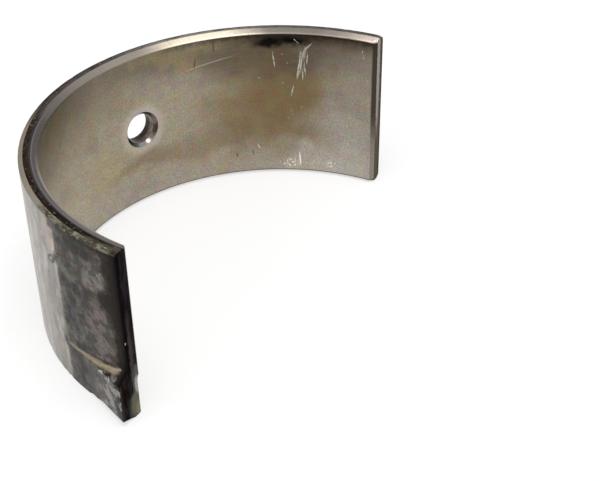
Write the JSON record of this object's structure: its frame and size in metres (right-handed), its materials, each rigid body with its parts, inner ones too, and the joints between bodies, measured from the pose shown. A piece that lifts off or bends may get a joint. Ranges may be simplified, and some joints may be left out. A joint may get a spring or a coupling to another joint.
{
  "type": "engine bearing shell",
  "caption": "Half-round plain bearing shell of lined steel strip, with chamfered edges, a countersunk oil hole and a pressed locating tang at one parting face.",
  "frame": {"origin": "on the bearing axis, at mid width of the shell", "axes": "+Z along the bearing axis, +Y towards the crown of the arc, tang at the -X parting face near the lower end face"},
  "size_m": [0.0678, 0.0323, 0.025],
  "materials": {
    "lined_steel": "used, worn smooth on the lining, oil stained on the back"
  },
  "bodies": {
    "root": {"bearing_shell": "lined_steel"}
  },
  "joints": []
}
